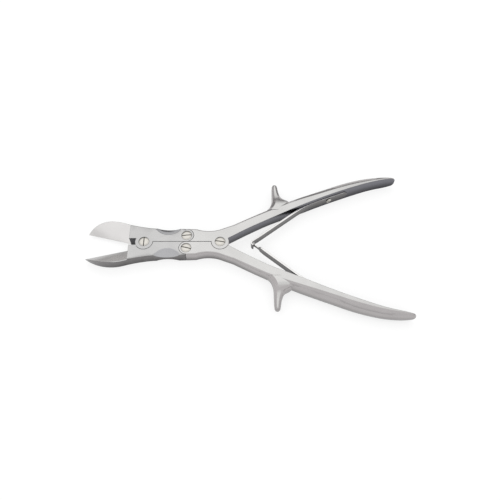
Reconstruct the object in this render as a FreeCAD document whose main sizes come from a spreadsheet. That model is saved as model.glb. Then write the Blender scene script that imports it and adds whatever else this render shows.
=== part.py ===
import FreeCAD, Part
import math
import os
import Sketcher

# Double-action bone cutting forceps, modelled open as a parametric document, in millimetres.
# Two jaws and two handles form a kite-shaped linkage on four screws, and two leaf springs open it.
# Every piece is drawn with the handle pivot at its origin, the jaws towards -X, the grips towards +X
# and the middle of the body's thickness at height zero. Its Placement then moves it into the frame,
# whose origin is the middle of the underside of the whole instrument's box.

# Driving sizes: alias, value and what it measures.
SIZES = [
    ("jaw_pivot_reach", 62.2, "handle pivot to jaw pivot, with the instrument open"),
    ("link_reach", 27.55, "handle pivot to the link pivots, along the instrument"),
    ("link_offset", 5.83, "link pivots from the middle line"),
    ("body_thickness", 10.5, "thickness of the jaws and of the boxed joints"),
    ("layer_gap", 0.1, "play between the two layers of each lap"),
    ("slit_width", 0.3, "width of the slits between the four forgings"),
    ("joint_clearance", 0.25, "play between a hub and the round recess that it turns in"),
    ("hub_radius", 7.1, "hubs on the jaw pivot and on the handle pivot"),
    ("tip_reach", 48.7, "jaw pivot to the blade tips, along the instrument"),
    ("tip_rise", 11.6, "open blade tips from the middle line"),
    ("closed_gap", 0.1, "gap that is left between the cutting edges when shut"),
    ("notch_half", 3.05, "half height of the notch between the blades and the front hub"),
    ("shoulder_reach", 12.4, "jaw pivot to the shoulder where the bevels begin"),
    ("edge_lift", 1.2, "height of the cutting edges above the underside"),
    ("bevel_run", 14.5, "breadth of the upper bevel at the shoulder"),
    ("under_run", 4.0, "breadth of the narrow lower bevel"),
    ("back_root_reach", 15.0, "jaw pivot to the root of the blade's back"),
    ("back_root_height", 17.35, "root of the blade's back from the middle line"),
    ("back_crown_reach", 27.6, "jaw pivot to the highest point of the blade's back"),
    ("back_crown_height", 19.2, "highest point of the blade's back from the middle line"),
    ("brow_reach", 3.4, "jaw pivot to the middle of the curve that leads to the blade"),
    ("brow_height", 14.65, "middle of that curve from the middle line"),
    ("cheek_reach", 7.9, "length of the jaw's straight cheek behind the jaw pivot"),
    ("cheek_height", 13.1, "cheek of the jaw from the middle line"),
    ("link_wall", 12.6, "outer wall from the middle line at the link pivots"),
    ("jaw_edge", 1.2, "slope that breaks the outer edges of the jaws"),
    ("scallop_radius", 18.9, "radius of the ball that hollows the jaw's cheek"),
    ("scallop_reach", 42.7, "handle pivot to the middle of the hollows"),
    ("scallop_offset", 18.7, "middle of that ball from the middle line"),
    ("scallop_height", 19.4, "middle of that ball above or below mid thickness"),
    ("waist_start_reach", 19.5, "handle pivot to the front of the handle's waist"),
    ("waist_start_half", 12.35, "wall from the middle line there"),
    ("waist_reach", 9.0, "handle pivot to the narrowest place of the waist"),
    ("waist_half", 10.6, "wall from the middle line there"),
    ("waist_end_reach", 2.6, "handle pivot to the rear of the waist"),
    ("waist_end_half", 13.3, "wall from the middle line there"),
    ("crotch_reach", 6.4, "handle pivot to where the handles part"),
    ("crotch_half", 3.3, "inner face of a handle from the middle line there"),
    ("screw_radius", 2.3, "plain shank of the four joint screws"),
    ("screw_head_radius", 4.1, "head of the joint screws"),
    ("screw_head_depth", 1.8, "height of the sunk part of the head"),
    ("screw_head_sink", 0.2, "rim of the head below the face round it"),
    ("screw_dome", 0.55, "rise of the head's crown above its rim"),
    ("screw_end_gap", 0.15, "end of the screw above the underside"),
    ("screw_play", 0.1, "running play between a screw and the layer that turns on it"),
    ("thread_play", 0.02, "play of a screw in the layer that it is screwed into"),
    ("head_play", 0.15, "play round and under the sunk head"),
    ("slot_width", 0.8, "width of the screwdriver slots"),
    ("slot_depth", 0.9, "depth of the screwdriver slots"),
    ("spring_width", 7.0, "leaf springs across the leaf"),
    ("spring_thickness", 1.2, "leaf springs through the leaf"),
    ("spring_tip_reach", 27.5, "handle pivot to the centre of the spring's bead"),
    ("spring_bend_place", 14.5, "front of the seat to the middle of the spring's bend"),
    ("spring_bend_length", 10.5, "middle of the bend to each end of it"),
    ("bead_radius", 0.75, "round bead of the lower spring"),
    ("bead_length", 5.2, "length of the bead"),
    ("hook_play", 0.55, "play between the bead and the rolled hook"),
    ("hook_turn", 135.0, "how far the hook rolls round the bead, in degrees"),
    ("tongue_width", 3.0, "narrow tongue that carries the bead"),
    ("tongue_length", 6.5, "length of the tongue"),
    ("seat_depth", 0.35, "depth of the flat that the spring's root lies on"),
    ("seat_front", 19.5, "flat in front of the seat, under the spring's bend"),
    ("seat_side_play", 0.3, "play beside and behind the spring in its flat"),
    ("seat_play", 0.05, "play between the spring and its seat"),
    ("spring_screw_place", 8.4, "front of the seat to the spring's screw"),
    ("spring_screw_radius", 1.0, "shank of the spring's screw"),
    ("spring_screw_head_radius", 2.1, "head of the spring's screw"),
    ("spring_screw_head_height", 1.1, "height of that head"),
    ("spring_screw_length", 4.5, "depth of that screw in the handle"),
]

# Handle sections, from the box to the end of the grip. Each stands behind the one before it by its run,
# and its flat inner face lies further out than the last by its rise. Then come the breadth of the flat
# band on its upper and lower side, how far the rounded crown stands out from the band, the height of each
# of the crown's two round corners, and the section's half height.
# The first is measured from the crotch, where the handles part.
STATIONS = [
    ("root", 4.6, 2.65, 9.0, 1.6, 1.6, 5.25),
    ("neck", 19.0, 10.75, 7.9, 2.4, 2.6, 5.25),
    ("fork", 17.0, 8.5, 7.3, 3.1, 3.9, 5.6),
    ("palm", 19.0, 8.7, 6.1, 4.0, 5.6, 6.95),
    ("seat", 18.0, 8.1, 4.3, 4.9, 6.0, 7.1),
    ("swell", 24.0, 9.7, 3.1, 5.6, 6.1, 7.0),
    ("heel", 20.0, 7.0, 1.6, 5.0, 5.8, 6.6),
    ("tail", 14.9, 3.6, 0.7, 3.1, 5.5, 6.3),
    ("end", 6.6, 1.25, 0.4, 1.7, 4.2, 4.8),
    ("tip", 1.8, 0.45, 0.25, 0.8, 2.0, 2.4),
]

# Levels of the horn-shaped finger rest, from inside the shank to its point. Each lies further out than
# the last by its climb, and its front edge stands behind the last by its shift. Then come the width and
# the half height. The first is measured from the inner face at the fork station.
LEVELS = [
    ("foot", 5.8, -9.2, 17.7, 5.8),
    ("flare", 3.5, 2.8, 17.4, 5.8),
    ("throat", 3.5, 1.5, 17.4, 5.6),
    ("valley", 3.2, 0.7, 14.2, 4.9),
    ("shoulder", 3.0, 0.15, 9.35, 4.0),
    ("middle", 4.8, 0.05, 6.7, 3.3),
    ("upper", 5.2, 0.1, 5.5, 2.9),
    ("crown", 3.6, 0.35, 4.5, 2.6),
    ("point", 1.5, 0.9, 2.6, 1.5),
]

# Turn of each screwdriver slot, in degrees from the instrument's length.
JAW_SLOT_TURN = 90.0
HANDLE_SLOT_TURN = -9.0
UPPER_LINK_SLOT_TURN = 6.0
LOWER_LINK_SLOT_TURN = -14.0

UPPER = 1
LOWER = -1
OVERCUT = 1.0
BEVEL_OVERRUN = 1.3
HORN_ROUND_SHARE = 0.7
HORN_CORNER_SHARE = 0.8
# Chords that stand for each round corner of the lofted sections and for the screws' crowns.
CROWN_CHORDS = 3
HORN_CHORDS = 2
SCREW_CROWN_CHORDS = 2
# Two places this close are the same.
SAME_PLACE = 0.001
# How far a cutter for the leaf's seat or screw starts inside the instrument, in leaf thicknesses.
SEAT_CLEARANCE = 3
# A low degree keeps the long loft from swelling between its sections.
LOFT_DEGREE = 2
HUB_INSIDE_SHARE = 0.6


class Length:
    """A size that knows both its number and the sheet expression that gives it."""

    def __init__(self, value, text):
        self.value = value
        self.text = text

    def joined(self, other, sign, value):
        return Length(value, f"({self.text} {sign} {length(other).text})")

    def __add__(self, other):
        return self.joined(other, "+", self.value + length(other).value)

    def __sub__(self, other):
        return self.joined(other, "-", self.value - length(other).value)

    def __mul__(self, other):
        return self.joined(other, "*", self.value * length(other).value)

    def __truediv__(self, other):
        return self.joined(other, "/", self.value / length(other).value)

    def __neg__(self):
        return Length(-self.value, f"(-1 * {self.text})")

    def root(self):
        return Length(self.value ** 0.5, f"sqrt({self.text})")

    def cosine(self):
        """The cosine of a size that is an angle in degrees."""
        return Length(math.cos(math.radians(self.value)), f"cos({self.text} * 1 deg)")

    def sine(self):
        """The sine of a size that is an angle in degrees."""
        return Length(math.sin(math.radians(self.value)), f"sin({self.text} * 1 deg)")


def length(item):
    """Turn a plain number into a Length, and leave a Length as it is."""
    if isinstance(item, Length):
        return item
    return Length(float(item), repr(float(item)))


class Pair:
    """A point or a direction in a plane, made of two Lengths."""

    def __init__(self, first, second):
        self.x = length(first)
        self.y = length(second)

    def __add__(self, other):
        return Pair(self.x + other.x, self.y + other.y)

    def __sub__(self, other):
        return Pair(self.x - other.x, self.y - other.y)

    def scaled(self, factor):
        return Pair(self.x * factor, self.y * factor)

    def size(self):
        return (self.x * self.x + self.y * self.y).root()

    def unit(self):
        return self.scaled(length(1) / self.size())

    def left(self):
        """The same direction turned a quarter to the left."""
        return Pair(-self.y, self.x)

    def turned(self, angle):
        """The same direction turned to the left by an angle."""
        cosine = angle.cosine()
        sine = angle.sine()
        return Pair(self.x * cosine - self.y * sine, self.x * sine + self.y * cosine)

    def on_side(self, side):
        """The point itself on the upper side, its mirror image on the lower side."""
        return Pair(self.x, self.y * side)

    def section_on_side(self, side):
        """The same for a point of an upright section, whose first axis runs across the instrument."""
        return Pair(self.x * side, self.y)

    def vector(self):
        return FreeCAD.Vector(self.x.value, self.y.value, 0)


def round_side(base, depth, corner, half, chords):
    """Corners of a section's rounded side, from the top down: a quarter of an ellipse drawn as chords,
    a short upright wall, and the mirrored quarter."""
    upper = []
    for number in range(chords + 1):
        turn = math.pi / 2 * number / chords
        upper.append(Pair(base + depth * math.sin(turn), half - corner + corner * math.cos(turn)))
    return upper + [Pair(point.x, -point.y) for point in reversed(upper)]


doc = FreeCAD.newDocument("bone_cutting_forceps")


def sheet_rows():
    """Every driving size as one row of the sheet: alias, value, meaning."""
    rows = list(SIZES)
    for name, run, rise, band, crown, corner, half in STATIONS:
        rows.append((f"grip_{name}_run", run, f"{name} section behind the one before"))
        rows.append((f"grip_{name}_rise", rise, f"{name} section further out than the one before"))
        rows.append((f"grip_{name}_band", band, f"flat band of the {name} section"))
        rows.append((f"grip_{name}_crown", crown, f"rounded crown of the {name} section"))
        rows.append((f"grip_{name}_corner", corner, "height of a round corner of that crown"))
        rows.append((f"grip_{name}_half", half, f"half height of the {name} section"))
    for name, climb, shift, width, half in LEVELS:
        rows.append((f"horn_{name}_climb", climb, f"horn's {name} above the level before"))
        rows.append((f"horn_{name}_shift", shift, f"front of the horn's {name} behind the last"))
        rows.append((f"horn_{name}_width", width, f"width of the horn's {name}"))
        rows.append((f"horn_{name}_half", half, f"half height of the horn's {name}"))
    return rows


def write_sheet():
    """Write the driving sizes into the sheet and return them as Lengths by alias."""
    sheet = doc.addObject("Spreadsheet::Sheet", "Sizes")
    rows = sheet_rows()
    for number, (alias, value, meaning) in enumerate(rows, start=1):
        sheet.set(f"A{number}", meaning)
        sheet.set(f"B{number}", str(value))
        sheet.setAlias(f"B{number}", alias)
    doc.recompute()
    return {alias: Length(float(getattr(sheet, alias)), f"Sizes.{alias}") for alias, _, _ in rows}


size = write_sheet()

# Places that several pieces share.
half_body = size["body_thickness"] / 2
half_slit = size["slit_width"] / 2
half_layer_gap = size["layer_gap"] / 2
half_closed_gap = size["closed_gap"] / 2
jaw_pivot = Pair(-size["jaw_pivot_reach"], 0)
handle_pivot = Pair(0, 0)
link_pivot = Pair(-size["link_reach"], size["link_offset"])
lug_radius = size["link_offset"] - half_slit
edge_slope = (size["tip_rise"] - half_closed_gap) / size["tip_reach"]


def station_points():
    """The corner of the flat inner face at each handle section, by name."""
    here = Pair(size["crotch_reach"], size["crotch_half"])
    points = {}
    for name, *_ in STATIONS:
        here = here + Pair(size[f"grip_{name}_run"], size[f"grip_{name}_rise"])
        points[name] = here
    return points


stations = station_points()
frame_x = (size["jaw_pivot_reach"] + size["tip_reach"] - stations["tip"].x) / 2
frame_z = size["grip_seat_half"]


def bind(item, property_name, value):
    """Tie a property to the sheet."""
    item.setExpression(property_name, length(value).text)


def place(item, point, height):
    """Tie the place of an item to the sheet."""
    bind(item, "Placement.Base.x", point.x)
    bind(item, "Placement.Base.y", point.y)
    bind(item, "Placement.Base.z", height)


def fix_point(sketch, geometry, end, point):
    """Hold one end of a sketch line at a place given by the sheet."""
    for kind, value in (("DistanceX", point.x), ("DistanceY", point.y)):
        held = Sketcher.Constraint(kind, -1, 1, geometry, end, value.value)
        number = sketch.addConstraint(held)
        sketch.setExpression(f"Constraints[{number}]", value.text)


def turns_left(start, middle, finish):
    """Whether three points go round anticlockwise."""
    return (middle - start).cross(finish - middle).z > 0


def draw_step(sketch, start, step):
    """Draw one line or three-point arc, and return its number and the numbers of its two ends."""
    *middle, finish = step
    if not middle:
        line = Part.LineSegment(start.vector(), finish.vector())
        return sketch.addGeometry(line, False), 1, 2
    points = [start.vector(), middle[0].vector(), finish.vector()]
    forward = turns_left(*points)
    if not forward:
        points.reverse()
    number = sketch.addGeometry(Part.Arc(*points), False)
    mark = sketch.addGeometry(Part.Point(middle[0].vector()), True)
    fix_point(sketch, mark, 1, middle[0])
    sketch.addConstraint(Sketcher.Constraint("PointOnObject", mark, 1, number))
    return (number, 1, 2) if forward else (number, 2, 1)


def draw_path(sketch, start, steps, closed=True):
    """Draw lines, given by their end, and arcs, given by a middle point and their end."""
    drawn = []
    here = start
    for step in steps:
        drawn.append(draw_step(sketch, here, step))
        here = step[-1]
    first, first_start, _ = drawn[0]
    fix_point(sketch, first, first_start, start)
    for (one, _, one_end), (two, two_start, _) in zip(drawn, drawn[1:]):
        sketch.addConstraint(Sketcher.Constraint("Coincident", one, one_end, two, two_start))
    for (number, _, end), step in zip(drawn[:-1], steps[:-1]):
        fix_point(sketch, number, end, step[-1])
    last, _, last_end = drawn[-1]
    if closed:
        sketch.addConstraint(Sketcher.Constraint("Coincident", last, last_end, first, first_start))
    else:
        fix_point(sketch, last, last_end, steps[-1][-1])


def free_sketch(name, start, steps, closed=True):
    """A sketch in the plan plane that is not part of a body."""
    sketch = doc.addObject("Sketcher::SketchObject", name)
    draw_path(sketch, start, steps, closed)
    return sketch


def extrusion(name, base, height):
    """The solid that a sketch or a flat band sweeps straight up."""
    solid = doc.addObject("Part::Extrusion", name)
    solid.Base = base
    solid.DirMode = "Custom"
    solid.Dir = FreeCAD.Vector(0, 0, 1)
    solid.Solid = True
    bind(solid, "LengthFwd", height)
    return solid


def plan_prism(name, start, steps, bottom, top):
    """A prism on a plan outline, between two heights."""
    sketch = free_sketch(f"{name}_sketch", start, steps)
    bind(sketch, "Placement.Base.z", bottom)
    return extrusion(name, sketch, top - bottom)


def cylinder(name, centre, radius, bottom, top):
    """An upright cylinder between two heights."""
    item = doc.addObject("Part::Cylinder", name)
    bind(item, "Radius", radius)
    bind(item, "Height", top - bottom)
    place(item, centre, bottom)
    return item


def fused(name, pieces):
    """Several shapes made into one."""
    item = doc.addObject("Part::MultiFuse", name)
    item.Shapes = pieces
    item.Refine = True
    return item


def without(name, base, tools):
    """A shape with several others cut away."""
    item = doc.addObject("Part::Cut", name)
    item.Base = base
    item.Tool = fused(f"{name}_tools", tools) if len(tools) > 1 else tools[0]
    item.Refine = True
    return item


def layer_span(layer):
    """Lowest and highest level of the upper or lower layer of a lap."""
    if layer == UPPER:
        return half_layer_gap, half_body
    return -half_body, -half_layer_gap


def recess_span(layer):
    """The levels that are cut away so that only the given layer is left."""
    if layer == UPPER:
        return -half_body - OVERCUT, half_layer_gap
    return -half_layer_gap, half_body + OVERCUT


def lapped(name, blank, laps):
    """A blank with each of its laps: the other layer recessed, and a round lug or hub left in its own."""
    tools = []
    rounds = []
    for place_name, centre, radius, layer in laps:
        recess_radius = radius + size["joint_clearance"]
        tools.append(cylinder(f"{name}_{place_name}_recess", centre, recess_radius, *recess_span(layer)))
        rounds.append(cylinder(f"{name}_{place_name}_round", centre, radius, *layer_span(layer)))
    recessed = without(f"{name}_recessed", blank, tools)
    return fused(f"{name}_lapped", [recessed] + rounds)


def screw_hole(name, centre, layer):
    """Cutters of a joint screw's hole: threaded in a lower layer, plain with a sunk seat in an upper one."""
    play = size["screw_play"] if layer == UPPER else size["thread_play"]
    radius = size["screw_radius"] + play
    shank = cylinder(f"{name}_shank", centre, radius, -half_body - OVERCUT, half_body + OVERCUT)
    if layer == LOWER:
        return [shank]
    floor = half_body - size["screw_head_sink"] - size["screw_head_depth"] - size["head_play"]
    seat_radius = size["screw_head_radius"] + size["head_play"]
    return [shank, cylinder(f"{name}_seat", centre, seat_radius, floor, half_body + OVERCUT)]


def settle(item, label):
    """Name a finished piece and move it into the frame."""
    item.Label = label
    place(item, Pair(frame_x, 0), frame_z)
    return item


def cross_section(name, reach, start, steps):
    """A sketch that stands across the instrument, with its own axes along Y and Z."""
    sketch = free_sketch(name, start, steps)
    across = FreeCAD.Vector(0, 1, 0)
    upright = FreeCAD.Vector(0, 0, 1)
    along = FreeCAD.Vector(1, 0, 0)
    sketch.Placement = FreeCAD.Placement(FreeCAD.Vector(), FreeCAD.Rotation(across, upright, along, "ZXY"))
    bind(sketch, "Placement.Base.x", reach)
    return sketch


def long_section(name, rise, start, steps):
    """A sketch that stands along the instrument, with its own axes along X and Z."""
    sketch = free_sketch(name, start, steps)
    along = FreeCAD.Vector(1, 0, 0)
    upright = FreeCAD.Vector(0, 0, 1)
    inward = FreeCAD.Vector(0, -1, 0)
    sketch.Placement = FreeCAD.Placement(FreeCAD.Vector(), FreeCAD.Rotation(along, upright, inward, "ZXY"))
    bind(sketch, "Placement.Base.y", rise)
    return sketch


def near_one_of(vertex, corners):
    """Whether a corner of a solid stands over or under one of the given plan points."""
    foot = FreeCAD.Vector(vertex.X, vertex.Y, 0)
    return any(foot.distanceToPoint(corner.vector()) < SAME_PLACE for corner in corners)


def softened(kind, name, base, corners, breadth):
    """A prism with the level edges between the given plan corners rounded or sloped off."""
    doc.recompute()
    edges = []
    for number, edge in enumerate(base.Shape.Edges, start=1):
        level = edge.BoundBox.ZLength < SAME_PLACE
        if level and all(near_one_of(vertex, corners) for vertex in edge.Vertexes):
            edges.append((number, breadth.value, breadth.value))
    item = doc.addObject(kind, name)
    item.Base = base
    item.Edges = edges
    return item


def jaw_blank(name, side):
    """The jaw's plan outline at full thickness: box half, cheek, curved back and straight cutting edge.
    Its outer edges are sloped off."""
    box_end = -size["link_reach"] - half_slit
    hub_inside = jaw_pivot.x - size["hub_radius"] * HUB_INSIDE_SHARE
    heel_reach = (size["notch_half"] - half_closed_gap) / edge_slope
    brow = Pair(jaw_pivot.x - size["brow_reach"], size["brow_height"])
    back_root = Pair(jaw_pivot.x - size["back_root_reach"], size["back_root_height"])
    back_crown = Pair(jaw_pivot.x - size["back_crown_reach"], size["back_crown_height"])
    tip = Pair(jaw_pivot.x - size["tip_reach"], size["tip_rise"])
    wall_end = Pair(box_end, size["link_wall"])
    cheek = Pair(jaw_pivot.x + size["cheek_reach"], size["cheek_height"])
    start = Pair(box_end, half_slit)
    steps = [
        [wall_end],
        [cheek],
        [brow, back_root],
        [back_crown, tip],
        [Pair(jaw_pivot.x - heel_reach, size["notch_half"])],
        [Pair(hub_inside, size["notch_half"])],
        [Pair(hub_inside, half_slit)],
        [start],
    ]
    sided = [[point.on_side(side) for point in step] for step in steps]
    prism = plan_prism(f"{name}_prism", start.on_side(side), sided, -half_body, half_body)
    outer = [point.on_side(side) for point in (wall_end, cheek, back_root, tip)]
    return softened("Part::Chamfer", f"{name}_blank", prism, outer, size["jaw_edge"])


def edge_cutter(name, side, corners):
    """A prism that is cut away along the cutting edge, in front of the shoulder."""
    points = [corner.section_on_side(side) for corner in corners]
    steps = [[point] for point in points[1:] + points[:1]]
    section = cross_section(f"{name}_section", jaw_pivot.x - size["shoulder_reach"], points[0], steps)
    cutter = doc.addObject("Part::Extrusion", name)
    cutter.Base = section
    cutter.DirMode = "Custom"
    cutter.Solid = True
    cutter.Dir = FreeCAD.Vector(-1, edge_slope.value * side, 0)
    bind(cutter, "Dir.y", edge_slope * side)
    bind(cutter, "LengthFwd", size["tip_reach"])
    return cutter


def bevel_cutters(name, side):
    """The broad upper bevel and the narrow lower one, which meet in the cutting edge."""
    edge_place = size["shoulder_reach"] * edge_slope + half_closed_gap
    edge_level = size["edge_lift"] - half_body
    upper_rise = size["body_thickness"] - size["edge_lift"]
    outside = edge_place - OVERCUT
    upper = [
        Pair(outside, edge_level - upper_rise / size["bevel_run"] * OVERCUT),
        Pair(edge_place + size["bevel_run"] * BEVEL_OVERRUN, edge_level + upper_rise * BEVEL_OVERRUN),
        Pair(outside, edge_level + upper_rise * BEVEL_OVERRUN),
    ]
    lower = [
        Pair(outside, edge_level + size["edge_lift"] / size["under_run"] * OVERCUT),
        Pair(edge_place + size["under_run"] * BEVEL_OVERRUN, edge_level - size["edge_lift"] * BEVEL_OVERRUN),
        Pair(outside, edge_level - size["edge_lift"] * BEVEL_OVERRUN),
    ]
    return [edge_cutter(f"{name}_bevel", side, upper), edge_cutter(f"{name}_under_bevel", side, lower)]


def scallop(name, side, face):
    """The ball that hollows one face of the jaw's cheek."""
    ball = doc.addObject("Part::Sphere", name)
    bind(ball, "Radius", size["scallop_radius"])
    centre = Pair(-size["scallop_reach"], size["scallop_offset"]).on_side(side)
    place(ball, centre, size["scallop_height"] * face)
    return ball


def make_jaw(label, side):
    """One jaw. The upper one has the upper layer of both its laps, the lower one the lower layer."""
    link = link_pivot.on_side(side)
    laps = [("hub", jaw_pivot, size["hub_radius"], side), ("lug", link, lug_radius, side)]
    body = lapped(label, jaw_blank(label, side), laps)
    tools = bevel_cutters(label, side)
    tools += [scallop(f"{label}_top_scallop", side, UPPER), scallop(f"{label}_low_scallop", side, LOWER)]
    tools += screw_hole(f"{label}_hub_hole", jaw_pivot, side)
    tools += screw_hole(f"{label}_lug_hole", link, side)
    return settle(without(f"{label}_piece", body, tools), label)


def handle_box(name, side):
    """The handle's boxed front end: straight inner faces, a waisted outer wall with round edges, the crotch."""
    box_end = half_slit - size["link_reach"]
    root = stations["root"]
    start = Pair(box_end, half_slit)
    outer = Pair(root.x, root.y + size["grip_root_band"] + size["grip_root_crown"])
    waist_end = Pair(size["waist_end_reach"], size["waist_end_half"])
    waist = Pair(-size["waist_reach"], size["waist_half"])
    waist_start = Pair(-size["waist_start_reach"], size["waist_start_half"])
    wall_end = Pair(box_end, size["link_wall"])
    steps = [
        [Pair(size["crotch_reach"], half_slit)],
        [Pair(size["crotch_reach"], size["crotch_half"])],
        [root],
        [outer],
        [waist_end],
        [waist, waist_start],
        [wall_end],
        [start],
    ]
    sided = [[point.on_side(side) for point in step] for step in steps]
    prism = plan_prism(f"{name}_prism", start.on_side(side), sided, -half_body, half_body)
    walls = [point.on_side(side) for point in (outer, waist_end, waist_start, wall_end)]
    return softened("Part::Fillet", f"{name}_box", prism, walls, size["grip_root_corner"])


def grip_section(name, side, station):
    """One D-shaped section of the handle: flat inner face, two flat bands and a round crown."""
    inner = stations[station].y
    band = inner + size[f"grip_{station}_band"]
    half = size[f"grip_{station}_half"]
    crown = size[f"grip_{station}_crown"]
    corner_height = size[f"grip_{station}_corner"]
    corners = [Pair(inner, -half), Pair(inner, half)]
    corners += round_side(band, crown, corner_height, half, CROWN_CHORDS)
    points = [corner.section_on_side(side) for corner in corners]
    steps = [[point] for point in points[1:] + points[:1]]
    return cross_section(f"{name}_{station}_section", stations[station].x, points[0], steps)


def horn_section(name, side, level, front, rise):
    """One level of the finger rest: a slab with rounded front and rear."""
    half = size[f"horn_{level}_half"]
    rounding = half * HORN_ROUND_SHARE
    rear_base = front + size[f"horn_{level}_width"] - rounding
    front_base = front + rounding
    corner_height = half * HORN_CORNER_SHARE
    corners = round_side(rear_base, rounding, corner_height, half, HORN_CHORDS)
    corners += reversed(round_side(front_base, -rounding, corner_height, half, HORN_CHORDS))
    steps = [[corner] for corner in corners[1:] + corners[:1]]
    return long_section(f"{name}_{level}_level", rise * side, corners[0], steps)


def loft(name, sections):
    """A smooth solid through sections."""
    solid = doc.addObject("Part::Loft", name)
    solid.Sections = sections
    solid.Solid = True
    solid.MaxDegree = LOFT_DEGREE
    return solid


def grip(name, side):
    """Shank and grip in one sweep of D-shaped sections."""
    sections = [grip_section(name, side, station) for station, *_ in STATIONS]
    return loft(f"{name}_grip", sections)


def horn(name, side):
    """The finger rest, which grows out of the shank at the fork."""
    sections = []
    rise = stations["fork"].y
    front = stations["fork"].x
    for level, *_ in LEVELS:
        rise = rise + size[f"horn_{level}_climb"]
        front = front + size[f"horn_{level}_shift"]
        sections.append(horn_section(name, side, level, front, rise))
    return loft(f"{name}_horn", sections)


# The leaf spring's seat: a straight line along the grip's inner face, and the way out of it.
seat_direction = (stations["swell"] - stations["seat"]).unit()
seat_outward = seat_direction.left()
screw_place = stations["seat"] + seat_direction.scaled(size["spring_screw_place"])
# The leaf ends in a half round about this point of the seat line.
leaf_end_centre = stations["swell"] - seat_direction.scaled(size["spring_width"] / 2)
seat_clearance = size["spring_thickness"] * SEAT_CLEARANCE


def seat_cylinder(name, side, centre, radius, low, high):
    """A cylinder that stands square on the spring's seat, between two distances from the seat line."""
    item = doc.addObject("Part::Cylinder", name)
    outward = seat_outward.on_side(side)
    upright = FreeCAD.Vector(0, 0, 1)
    item.Placement = FreeCAD.Placement(FreeCAD.Vector(), FreeCAD.Rotation(upright, outward.vector()))
    bind(item, "Radius", radius)
    bind(item, "Height", high - low)
    place(item, centre.on_side(side) + outward.scaled(low), 0)
    return item


def seat_cutters(name, side):
    """The shallow flat that the spring's root lies on, along the inner face of the grip, with its round end."""
    front = stations["seat"] - seat_direction.scaled(size["seat_front"])
    floor = seat_outward.scaled(size["seat_depth"])
    clear = seat_outward.scaled(seat_clearance)
    corners = [front - clear, leaf_end_centre - clear, leaf_end_centre + floor, front + floor]
    points = [corner.on_side(side) for corner in corners]
    half_breadth = size["spring_width"] / 2 + size["seat_side_play"]
    steps = [[point] for point in points[1:] + points[:1]]
    flat = plan_prism(f"{name}_seat", points[0], steps, -half_breadth, half_breadth)
    levels = (-seat_clearance, size["seat_depth"])
    return [flat, seat_cylinder(f"{name}_seat_end", side, leaf_end_centre, half_breadth, *levels)]


def make_handle(label, side):
    """One handle. The upper one has the lower layer of its lug and the upper layer of its hub."""
    link = link_pivot.on_side(side)
    laps = [("hub", handle_pivot, size["hub_radius"], side), ("lug", link, lug_radius, -side)]
    box = lapped(label, handle_box(label, side), laps)
    whole = fused(f"{label}_forging", [box, grip(label, side), horn(label, side)])
    tools = screw_hole(f"{label}_hub_hole", handle_pivot, side)
    tools += screw_hole(f"{label}_lug_hole", link, -side)
    tools += seat_cutters(label, side)
    screw_radius = size["spring_screw_radius"] + size["thread_play"]
    levels = (-seat_clearance, size["seat_depth"] + size["spring_screw_length"])
    tools.append(seat_cylinder(f"{label}_spring_hole", side, screw_place, screw_radius, *levels))
    return settle(without(f"{label}_piece", whole, tools), label)


# Middle of a leaf's thickness, outward from the seat line.
half_thickness = size["spring_thickness"] / 2
leaf_middle = size["seat_depth"] - size["seat_play"] - half_thickness


def spring_line(side, hooked):
    """The middle line of a leaf: its straight root, the bend, the straight blade and, if hooked, the roll."""
    tip = Pair(size["spring_tip_reach"], 0)
    root_end = stations["swell"] + seat_outward.scaled(leaf_middle)
    seat_front = stations["seat"] + seat_outward.scaled(leaf_middle)
    bend = seat_front - seat_direction.scaled(size["spring_bend_place"])
    target = tip
    roll = []
    if hooked:
        roll_radius = size["bead_radius"] + size["hook_play"] + half_thickness
        away = bend - tip
        squared = away.x * away.x + away.y * away.y
        reach = (squared - roll_radius * roll_radius).root()
        leaving = away.scaled(roll_radius * roll_radius / squared)
        leaving = leaving + away.left().scaled(roll_radius * reach / squared)
        target = tip + leaving
        roll = [[tip + leaving.turned(size["hook_turn"] / 2), tip + leaving.turned(size["hook_turn"])]]
    blade_direction = (target - bend).unit()
    bend_rear = bend + seat_direction.scaled(size["spring_bend_length"])
    bend_front = bend + blade_direction.scaled(size["spring_bend_length"])
    # The bend is an arc that meets both straight stretches without a corner.
    half_bend_cosine = (seat_direction - blade_direction).size() / 2
    pull = length(0.5) / (half_bend_cosine + 1)
    bend_middle = bend + (bend_rear + bend_front - bend.scaled(2)).scaled(pull)
    steps = [[bend_rear], [bend_middle, bend_front], [target]] + roll
    sided = [[point.on_side(side) for point in step] for step in steps]
    return root_end.on_side(side), sided


def leaf_end_cutter(name, side):
    """What is cut off a strip to leave a half round at its root end: a block with a round core kept out."""
    front = leaf_end_centre
    rear = stations["swell"] + seat_direction.scaled(size["spring_width"])
    clear = seat_outward.scaled(seat_clearance)
    points = [corner.on_side(side) for corner in (front - clear, rear - clear, rear + clear, front + clear)]
    steps = [[point] for point in points[1:] + points[:1]]
    block = plan_prism(f"{name}_block", points[0], steps, -size["spring_width"], size["spring_width"])
    levels = (-seat_clearance * 2, seat_clearance * 2)
    core = seat_cylinder(f"{name}_core", side, leaf_end_centre, size["spring_width"] / 2, *levels)
    return without(name, block, [core])


def spring_leaf(name, side, hooked):
    """A flat strip bent along its middle line, with a half round at its root end."""
    start, steps = spring_line(side, hooked)
    line = free_sketch(f"{name}_line", start, steps, closed=False)
    bind(line, "Placement.Base.z", -size["spring_width"] / 2)
    band = doc.addObject("Part::Offset2D", f"{name}_band")
    band.Source = line
    band.Fill = True
    bind(band, "Value", half_thickness)
    strip = extrusion(f"{name}_strip", band, size["spring_width"])
    return without(f"{name}_leaf", strip, [leaf_end_cutter(f"{name}_end", side)])


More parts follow.
